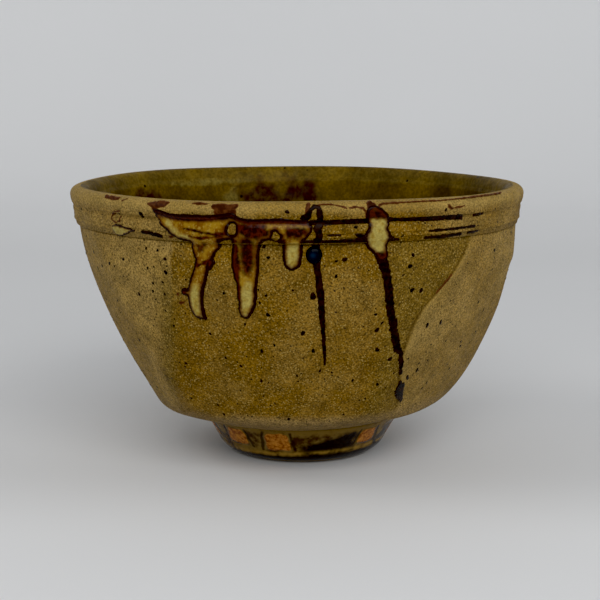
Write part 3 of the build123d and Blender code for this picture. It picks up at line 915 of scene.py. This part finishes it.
# Where the foot's glaze ran thin and burnt orange: middle azimuth, half width, middle height and half height
FOOT_WINDOWS = (
    (-43.5, 8.5, 7.4, 2.6), (-15.0, 8.6, 7.2, 3.0), (43.5, 7.5, 7.6, 2.4), (78, 9, 7.4, 2.5),
    (104, 6, 7.8, 2.0), (133, 10, 7.4, 2.6), (166, 8, 7.5, 2.4), (195, 7, 7.8, 2.2), (224, 9, 7.4, 2.6),
    (256, 7, 7.4, 2.3), (287, 8, 7.6, 2.5)
)
# Where it pooled black: first and last azimuth
FOOT_BLACKS = (
    (0, 35), (55, 68), (88, 97), (146, 157), (204, 213), (235, 247), (266, 276)
)
FOOT_RIDGE = 3.2  # the height of the ridge round the foot


def foot_marks(azimuth, height):
    """Masks for the foot's glaze: thin orange windows, black pools, painted shade below the ridge, the worn
    ridge and the gold above it.
    """
    window, black, bar = (np.zeros(height.shape) for _ in range(3))
    across = azimuth * math.pi * 25 / 180
    rough = 0.5 * mottle(across, height, 1.4, 41) + 0.25 * mottle(across, height, 0.6, 42)
    for middle, half_width, level, half_height in FOOT_WINDOWS:
        turn = (azimuth - middle + 180) % 360 - 180
        flare = 1 + 0.14 * (level - height) / half_height
        wide = np.maximum(np.abs(turn) / (half_width * flare) + 0.16 * rough, 0)
        tall = np.maximum(np.abs(height - level) / half_height + 0.12 * rough, 0)
        reach = (wide ** 5 + tall ** 5) ** 0.2
        window = np.maximum(window, 1 - smoothstep(0.74, 1.06, reach))
        bar = np.maximum(bar, np.exp(-((wide - 1.12) / 0.17) ** 2) * smoothstep(1.25, 0.95, tall))
    for first, last in FOOT_BLACKS:
        turn = (azimuth - (first + last) / 2 + 180) % 360 - 180
        share = smoothstep(5, -5, np.abs(turn) - (last - first) / 2 + 5 * rough)
        top = 8.2 + 2.0 * np.clip(2 * turn / (last - first), -1, 1)
        black = np.maximum(black, share * smoothstep(0.7, -0.7, height - top + 0.8 * rough))
    # painted shade: black on the underside below the ridge
    above = height - FOOT_RIDGE + 0.3 * rough - 0.7 * np.sin(np.radians(azimuth))
    black = np.maximum(black, smoothstep(0, -0.6, above))
    rise = height - FOOT_RIDGE - 0.5 - 0.9 * np.sin(np.radians(azimuth))
    ridge = np.exp(-((rise + 0.25 * rough) / 0.5) ** 2) * smoothstep(-0.6, 0.2, rough)
    gold = smoothstep(8.9, 10.2, height + 0.6 * rough)
    return {"window": window, "bar": bar, "black": black, "ridge": ridge, "gold": gold}


# Brown patches, and pale patches of painted sheen inside: middle azimuth and height, and half width and
# height
LINING_BROWN = (
    (-170, 65, 10, 5.0), (-178, 66, 4, 5.0), (176, 67, 2.5, 4.5), (-128, 67, 7, 3.0), (60, 60, 12, 8),
    (110, 55, 10, 9), (-80, 58, 12, 9), (-35, 56, 12, 8), (15, 60, 9, 7)
)
LINING_SHEEN = (
    (-158, 64, 3, 5.0), (-150, 70.5, 16, 0.9), (-60, 70, 12, 1.2), (40, 70, 12, 1.2)
)


def lining_marks(points):
    """Masks for the inside: brown patches that ran down, and painted sheen near the lip."""
    azimuth = np.degrees(np.arctan2(points[:, 0], -points[:, 1]))
    height = points[:, 2]
    across = azimuth * DEGREE
    rough = 0.45 * mottle(across, height, 4.0, 51) + 0.25 * mottle(across, height, 1.5, 52)
    masks = {}
    for key, spots in (("brown", LINING_BROWN), ("painted_sheen", LINING_SHEEN)):
        share = np.zeros(len(points))
        for middle, level, half_width, half_height in spots:
            turn = (azimuth - middle + 180) % 360 - 180
            reach = np.hypot(turn / half_width, (height - level) / half_height)
            share = np.maximum(share, 1 - smoothstep(0.55, 1.25, reach + rough))
        masks[key] = share
    low = 1 - smoothstep(18, 34, height + 5 * rough)
    masks["brown"] = np.maximum(masks["brown"], 0.55 * low)
    # painted sheen all round just under the lip
    near_lip = smoothstep(MOUTH_TOP - 2.0, MOUTH_TOP - 0.4, height + 1.2 * rough)
    masks["painted_sheen"] = np.maximum(masks["painted_sheen"], 0.3 * near_lip)
    return masks


# ---------------------------------------------------------------- materials

class Nodes:
    """Builds one material's nodes. Each method returns the socket that the next one takes."""

    def __init__(self, name):
        self.material = bpy.data.materials.new(name)
        self.material.use_nodes = True
        self.tree = self.material.node_tree
        self.shader = self.tree.nodes["Principled BSDF"]
        self.place = self.make("ShaderNodeTexCoord").outputs["Object"]

    def make(self, kind, **values):
        """A node with its settings."""
        node = self.tree.nodes.new(kind)
        for key, value in values.items():
            setattr(node, key, value)
        return node

    def put(self, socket, value):
        """Links a socket to another, or sets its number or colour."""
        if isinstance(value, bpy.types.NodeSocket):
            self.tree.links.new(value, socket)
        elif isinstance(value, tuple) and len(value) == 3 and socket.type == "RGBA":
            socket.default_value = value + (1.0,)
        else:
            socket.default_value = value

    def attribute(self, name):
        """A float attribute of the mesh's points."""
        return self.make("ShaderNodeAttribute", attribute_name=name).outputs["Fac"]

    def noise(self, size, detail=2.0, roughness=0.5, shift=0.0):
        """Noise with features of about size millimetres, from 0 to 1."""
        node = self.make("ShaderNodeTexNoise")
        self.put(node.inputs["Vector"], self.moved(shift) if shift else self.place)
        self.put(node.inputs["Scale"], 1000.0 / size)
        self.put(node.inputs["Detail"], detail)
        self.put(node.inputs["Roughness"], roughness)
        return node.outputs["Fac"]

    def cells(self, size, output="Distance", shift=0.0):
        """Cells of about size millimetres: the distance to the nearest middle, or each cell's own colour."""
        node = self.make("ShaderNodeTexVoronoi")
        self.put(node.inputs["Vector"], self.moved(shift) if shift else self.place)
        self.put(node.inputs["Scale"], 1000.0 / size)
        return node.outputs[output]

    def moved(self, shift):
        """The object's coordinates, moved, so that two textures don't line up."""
        node = self.make("ShaderNodeVectorMath", operation="ADD")
        self.put(node.inputs[0], self.place)
        self.put(node.inputs[1], (shift, 0.7 * shift, -0.4 * shift))
        return node.outputs[0]

    def math(self, operation, first, second=0.0, clamp=False):
        """One sum."""
        node = self.make("ShaderNodeMath", operation=operation, use_clamp=clamp)
        self.put(node.inputs[0], first)
        self.put(node.inputs[1], second)
        return node.outputs[0]

    def step(self, value, low, high, start=0.0, end=1.0):
        """Runs smoothly from start, at low and below, to end, at high and above."""
        node = self.make("ShaderNodeMapRange", interpolation_type="SMOOTHSTEP")
        keys = ("Value", "From Min", "From Max", "To Min", "To Max")
        for key, number in zip(keys, (value, low, high, start, end)):
            self.put(node.inputs[key], number)
        return node.outputs["Result"]

    def mix(self, share, first, second, blend="MIX"):
        """Mixes two colours."""
        node = self.make("ShaderNodeMix", data_type="RGBA", blend_type=blend)
        self.put(node.inputs["Factor"], share)
        self.put(node.inputs[6], first)
        self.put(node.inputs[7], second)
        return node.outputs[2]

    def axis(self, name):
        """One of the object's coordinates, in metres."""
        node = self.make("ShaderNodeSeparateXYZ")
        self.put(node.inputs[0], self.place)
        return node.outputs[name]

    def times(self, first, second):
        """One product."""
        return self.math("MULTIPLY", first, second)

    def shaded(self, colour, value):
        """A colour multiplied by a number."""
        grey = self.make("ShaderNodeCombineColor")
        for socket in grey.inputs[:3]:
            self.put(socket, value)
        return self.mix(1.0, colour, grey.outputs[0], "MULTIPLY")

    def specks(self, size, rare, edge):
        """Small round specks in cells of a size. rare picks some of the cells, and edge sizes a speck."""
        chance = self.make("ShaderNodeSeparateColor")
        self.put(chance.inputs[0], self.cells(size, "Color", 0.5))
        return self.times(self.step(self.cells(size, shift=0.5), *edge), self.step(chance.outputs[0], *rare))

    def bump(self, height, distance, under=None):
        """A bump in millimetres, on top of another one."""
        node = self.make("ShaderNodeBump")
        self.put(node.inputs["Height"], height)
        self.put(node.inputs["Distance"], distance * MM)
        self.put(node.inputs["Strength"], 1.0)
        if under:
            self.put(node.inputs["Normal"], under)
        return node.outputs["Normal"]

    def finish(self, colour, rough, specular, relief=None):
        """Sets the shader's sockets and returns the material."""
        self.put(self.shader.inputs["Base Color"], colour)
        self.put(self.shader.inputs["Roughness"], rough)
        self.put(self.shader.inputs["Specular IOR Level"], specular)
        if relief:
            self.put(self.shader.inputs["Normal"], relief)
        return self.material


GOLDEN_CLAY = (0.148, 0.077, 0.0045)
# pale sandy clay, which also stands in for painted sheen on the side facets
PALE_CLAY_AND_SHEEN = (0.262, 0.168, 0.046)
# dark olive clay, also used for the painted shade in the crease
OLIVE_CLAY_AND_SHADE = (0.130, 0.079, 0.010)
GREY_CLAY = (0.200, 0.132, 0.050)
SAND = (0.400, 0.272, 0.072)
# dark pits in the clay, also used for the painted shadow line beside the raised edge
CLAY_PIT_AND_SHADOW = (0.052, 0.025, 0.003)
IRON_SPECK = (0.020, 0.010, 0.006)


def make_clay(name):
    """Coarse golden stoneware with sand on its skin, fine iron specks, and a greyer trimmed base."""
    n = Nodes(name)
    cloud = n.step(n.noise(16, 3, 0.55), 0.32, 0.70, -0.22, 0.26)
    # tone: golden front and paler sides, partly the clay's colour and partly painted sheen on the side
    # facets
    colour = n.mix(n.math("ADD", n.attribute("tone"), cloud, clamp=True), GOLDEN_CLAY, PALE_CLAY_AND_SHEEN)
    colour = n.mix(n.times(n.attribute("bluff"), 0.75), colour, OLIVE_CLAY_AND_SHADE)
    # painted shade along the crease at the left, in the olive of the clay
    colour = n.mix(n.times(n.attribute("crease_shade"), 0.80), colour, OLIVE_CLAY_AND_SHADE)
    height = n.math("ADD", n.axis("Z"), n.times(n.noise(7, 3), 0.003))
    colour = n.mix(n.step(height, 0.0215, 0.0185, 0.0, 0.8), colour, GREY_CLAY)
    patchy = n.step(n.noise(5.0, 4, 0.6, 0.3), 0.30, 0.72, 0.78, 1.22)
    colour = n.shaded(colour, patchy)
    grain = n.step(n.noise(0.44, 3, 0.75), 0.36, 0.64, 0.46, 1.50)
    colour = n.shaded(colour, grain)
    sandy = n.step(n.noise(1.5, 3, 0.6, 1.1), 0.40, 0.58, 0.15, 0.95)
    sand = n.times(n.step(n.cells(0.60), 0.42, 0.24), sandy)
    colour = n.mix(n.times(sand, 0.75), colour, SAND)
    pitted = n.step(n.noise(3.1, 1, 0.5, 0.9), 0.40, 0.56)
    pits = n.times(n.step(n.cells(0.90, shift=2.3), 0.32, 0.18), pitted)
    colour = n.mix(n.times(pits, 0.75), colour, CLAY_PIT_AND_SHADOW)
    colour = n.mix(n.specks(2.6, (0.48, 0.54), (0.115, 0.075)), colour, IRON_SPECK)
    # edge: the worn raised facet edge, and on the collar the lip's crest, lighter partly as a painted
    # highlight
    colour = n.mix(n.times(n.attribute("edge"), 0.30), colour, SAND)
    # painted shadow line beside the raised edge
    colour = n.mix(n.times(n.attribute("line"), 0.65), colour, CLAY_PIT_AND_SHADOW)
    rough = n.step(n.noise(1.3, 2, 0.6, 0.2), 0.3, 0.7, 0.58, 0.82)
    relief = n.bump(n.noise(0.6, 3, 0.7), 0.16)
    relief = n.bump(sand, 0.10, relief)
    relief = n.bump(n.noise(5.0, 3, 0.5, 0.6), 0.25, relief)
    return n.finish(colour, rough, 0.08, relief)


def make_lining():
    """The inside's half-matt olive glaze, with red-brown patches, painted sheen near the lip, painted shade
    lower down, and specks.
    """
    n = Nodes("olive_inner_glaze")
    cloud = n.noise(14, 4, 0.6)
    colour = n.mix(n.step(cloud, 0.32, 0.68), (0.052, 0.027, 0.001), (0.150, 0.086, 0.003))
    # painted sheen: a paler, greyer glaze colour near the lip
    painted_sheen = n.times(n.attribute("painted_sheen"), n.step(n.noise(2.4, 3, 0.6, 0.8), 0.3, 0.6, 0.35, 1.0))
    colour = n.mix(painted_sheen, colour, (0.170, 0.120, 0.020))
    brown = n.times(n.attribute("brown"), n.step(n.noise(3.2, 4, 0.6, 0.4), 0.28, 0.55, 0.5, 1.0))
    colour = n.mix(brown, colour, (0.024, 0.002, 0.001))
    # painted shade: the inside is darker below the lip
    colour = n.shaded(colour, n.step(n.axis("Z"), 0.062, 0.071, 0.72, 1.0))
    grain = n.step(n.noise(0.9, 2, 0.6), 0.3, 0.7, 0.75, 1.25)
    colour = n.shaded(colour, grain)
    colour = n.mix(n.specks(3.4, (0.55, 0.62), (0.17, 0.11)), colour, (0.006, 0.003, 0.002))
    rough = n.step(n.noise(2.5, 2, 0.5, 0.2), 0.3, 0.7, 0.44, 0.62)
    relief = n.bump(n.noise(3.0, 3, 0.6), 0.16)
    return n.finish(colour, rough, 0.06, relief)


def make_foot_glaze():
    """The foot's glossy tea-dust glaze: black where it pooled and as painted shade below the ridge, orange
    where it ran thin, gold at the top.
    """
    n = Nodes("black_foot_glaze")
    streak = n.step(n.noise(3.0, 3, 0.6), 0.34, 0.62)
    colour = n.mix(streak, (0.036, 0.011, 0.001), (0.170, 0.102, 0.018))
    # black: pooled black glaze, and painted shade on the underside below the ridge
    colour = n.mix(n.attribute("black"), colour, (0.006, 0.002, 0.001))
    gold = n.times(n.attribute("gold"), n.step(n.noise(1.8, 3, 0.6, 0.5), 0.3, 0.6, 0.4, 1.0))
    colour = n.mix(gold, colour, (0.180, 0.105, 0.014))
    window = n.attribute("window")
    burnt = n.step(n.noise(1.0, 3, 0.6, 0.7), 0.35, 0.65)
    orange = n.mix(burnt, (0.200, 0.050, 0.003), (0.460, 0.185, 0.022))
    colour = n.mix(n.step(window, 0.42, 0.75), colour, orange)
    colour = n.mix(n.step(n.attribute("bar"), 0.30, 0.90, 0.0, 0.85), colour, (0.014, 0.004, 0.001))
    ridge = n.attribute("ridge")
    colour = n.mix(n.times(ridge, 0.8), colour, (0.300, 0.170, 0.022))
    rough = n.step(n.noise(2.0, 2, 0.5, 0.2), 0.3, 0.7, 0.10, 0.24)
    relief = n.bump(n.noise(1.6, 3, 0.5), 0.10)
    relief = n.bump(window, 0.30, relief)
    return n.finish(colour, rough, 0.12, relief)


AMBER = (0.270, 0.152, 0.009)
DEEP_AMBER = (0.140, 0.052, 0.002)
CREAM = (0.350, 0.275, 0.068)
RED_BROWN = (0.060, 0.007, 0.001)
IRON_EDGE = (0.011, 0.002, 0.001)


def make_runny_glaze(name, seed):
    """Runny wood-ash glaze over iron: a dark line at its edge, amber where thin, cream where thick."""
    n = Nodes(name)
    depth = n.attribute("depth")
    amber = n.mix(n.step(n.noise(1.9, 4, 0.65, seed), 0.34, 0.64), DEEP_AMBER, AMBER)
    flecks = n.step(n.noise(0.7, 3, 0.6, seed + 0.4), 0.55, 0.66)
    amber = n.mix(n.times(flecks, 0.7), amber, (0.330, 0.215, 0.036))
    cream = n.mix(n.step(n.noise(1.6, 3, 0.6, seed + 0.8), 0.32, 0.60), (0.255, 0.165, 0.022), CREAM)
    cream = n.shaded(cream, n.step(n.noise(0.5, 2, 0.6, seed + 1.1), 0.3, 0.7, 0.82, 1.14))
    colour = n.mix(n.attribute("pale"), amber, cream)
    dark = n.attribute("dark")
    brown = n.mix(n.step(n.noise(1.2, 3, 0.6, seed + 1.3), 0.42, 0.66), IRON_EDGE, RED_BROWN)
    colour = n.mix(dark, colour, brown)
    reach = n.math("ADD", depth, n.times(n.noise(0.8, 2, 0.5, seed + 2.0), 0.45))
    colour = n.mix(n.step(reach, 1.75, 1.0, 0.0, 0.75), colour, RED_BROWN)
    colour = n.mix(n.step(reach, 1.12, 0.80), colour, IRON_EDGE)
    rough = n.step(n.noise(1.5, 2, 0.5, seed + 0.1), 0.3, 0.7, 0.14, 0.28)
    relief = n.bump(n.noise(1.1, 3, 0.5, seed + 0.2), 0.08)
    return n.finish(colour, rough, 0.08, relief)


def make_iron(name, dark, brown, shine):
    """Melted iron: nearly black in the middle, rusty at its thin edge, with a slightly crystalline skin."""
    n = Nodes(name)
    thin = n.step(n.math("ADD", n.attribute("depth"), n.times(n.noise(0.9, 3, 0.6), 0.4)), 0.55, 0.22)
    colour = n.mix(thin, n.mix(n.step(n.noise(1.4, 3, 0.6, 0.4), 0.42, 0.68), dark, brown), brown)
    rough = n.step(n.noise(1.0, 2, 0.5, 0.2), 0.3, 0.7, shine, shine + 0.16)
    # painted highlight: the bead's blue glint
    colour = n.mix(n.attribute("blue"), colour, (0.004, 0.014, 0.034))
    relief = n.bump(n.noise(0.7, 3, 0.6), 0.06)
    return n.finish(colour, rough, 0.05, relief)


def make_paper(name, colour):
    """The matt paper of the studio, with a painted shadow that makes it a little greyer where the bowl
    stands than in front and behind.
    """
    n = Nodes(name)
    # painted shadow: a band of darker paper round where the bowl stands
    near = n.step(n.axis("Y"), -0.085, -0.02)
    far = n.step(n.axis("Y"), 0.34, 0.62)
    shade = n.math("SUBTRACT", 1.0, n.times(n.math("SUBTRACT", near, far), 0.10))
    shade = n.times(shade, n.step(n.noise(300, 2), 0.3, 0.7, 0.99, 1.01))
    return n.finish(n.shaded(colour, shade), 0.85, 0.15)


# ---------------------------------------------------------------- the bowl

def build_bowl():
    """Every piece of the bowl."""
    clay = make_clay("golden_stoneware")
    amber = make_runny_glaze("amber_ash_glaze", 0.3)
    cream = make_runny_glaze("cream_ash_glaze", 1.7)
    iron = make_iron("black_iron_glaze", (0.005, 0.003, 0.002), (0.017, 0.005, 0.002), 0.22)
    rust = make_iron("brown_iron_wash", (0.034, 0.008, 0.003), (0.090, 0.028, 0.007), 0.34)
    bead = make_iron("blue_black_bead", (0.001, 0.002, 0.004), (0.003, 0.004, 0.007), 0.10)
    wall, collar, foot = build_wall(clay), build_collar(clay), build_foot(clay)
    for piece, node in ((wall, "bowl_body"), (collar, "rim_band"), (foot, "foot_ring")):
        finish_piece(piece, "bare_stoneware", node)
    finish_piece(build_lining(make_lining()), "olive_glaze", "inner_glaze")
    finish_piece(build_foot_glaze(make_foot_glaze()), "foot_glaze", "foot_glaze")
    field = clay_field(wall, collar)
    build_flows(field, amber, cream)
    build_right_run(field, cream)
    build_spot(field, cream)
    for iron_piece in IRON_PIECES:
        build_iron(*iron_piece, field, iron)
    build_bead(field, bead)
    build_specks(field, iron)
    build_fine_marks(field, rust)


# ---------------------------------------------------------------- studio

def build_backdrop():
    """A pale paper floor that curves up into the wall behind."""
    deep, bend, tall, half = 0.62, 0.35, 2.4, 2.6
    profile = [(-2.2, 0.0), (-1.0, 0.0), (0.0, 0.0), (deep, 0.0)]
    for angle in np.linspace(0, math.pi / 2, 16)[1:]:
        profile.append((deep + bend * math.sin(angle), bend * (1 - math.cos(angle))))
    profile.append((deep + bend, tall))
    points = [(side * half / MM, y / MM, z / MM) for y, z in profile for side in (-1, 1)]
    faces = [(2 * row, 2 * row + 1, 2 * row + 3, 2 * row + 2) for row in range(len(profile) - 1)]
    paper = mesh_object("paper_backdrop", points, faces, make_paper("studio_paper", (0.77, 0.77, 0.77)))


def add_soft_light(name, place, aim, size, power, colour):
    """A rectangular soft light that points from its place at its aim, in metres."""
    light = bpy.data.lights.new(name, "AREA")
    light.shape = "RECTANGLE"
    light.size, light.size_y = size
    light.energy = power
    light.color = colour
    thing = bpy.data.objects.new(name, light)
    thing.location = place
    thing.rotation_euler = (Vector(aim) - Vector(place)).to_track_quat("-Z", "Y").to_euler()
    bpy.context.scene.collection.objects.link(thing)


ROOM_LIGHT = 0.34


def build_studio():
    """Camera, soft lights and the pale room that fills the shadows."""
    scene = bpy.context.scene
    build_backdrop()
    add_soft_light("front_light", (0.3, -1.5, 1.0), (0, 0, 0.03), (1.8, 1.0), 21.5, (0.98, 0.99, 1.0))
    add_soft_light("left_light", (-1.3, -0.15, 1.1), (0, 0, 0.03), (0.7, 0.7), 3.4, (1.0, 0.98, 0.95))
    add_soft_light("right_light", (1.4, -0.2, 1.0), (0, 0, 0.03), (0.8, 0.8), 2.1, (0.97, 0.99, 1.0))
    world = bpy.data.worlds.new("studio_room")
    world.use_nodes = True
    room = world.node_tree.nodes["Background"]
    room.inputs["Color"].default_value = (0.93, 0.96, 1.0, 1.0)
    room.inputs["Strength"].default_value = ROOM_LIGHT
    scene.world = world
    lens = bpy.data.cameras.new("camera")
    lens.sensor_width = SENSOR
    lens.lens = CAMERA_LENS
    lens.clip_start = 0.01
    camera = bpy.data.objects.new("camera", lens)
    camera.location = Vector(CAMERA_PLACE) * MM
    camera.rotation_euler = (math.radians(90 - CAMERA_PITCH), 0, 0)
    scene.collection.objects.link(camera)
    scene.camera = camera
    scene.view_settings.view_transform = "Standard"
    scene.view_settings.use_curve_mapping = True
    curves = scene.view_settings.curve_mapping
    curves.black_level = (BLACK_LEVEL, BLACK_LEVEL, BLACK_LEVEL)
    curves.update()


build_bowl()
build_studio()
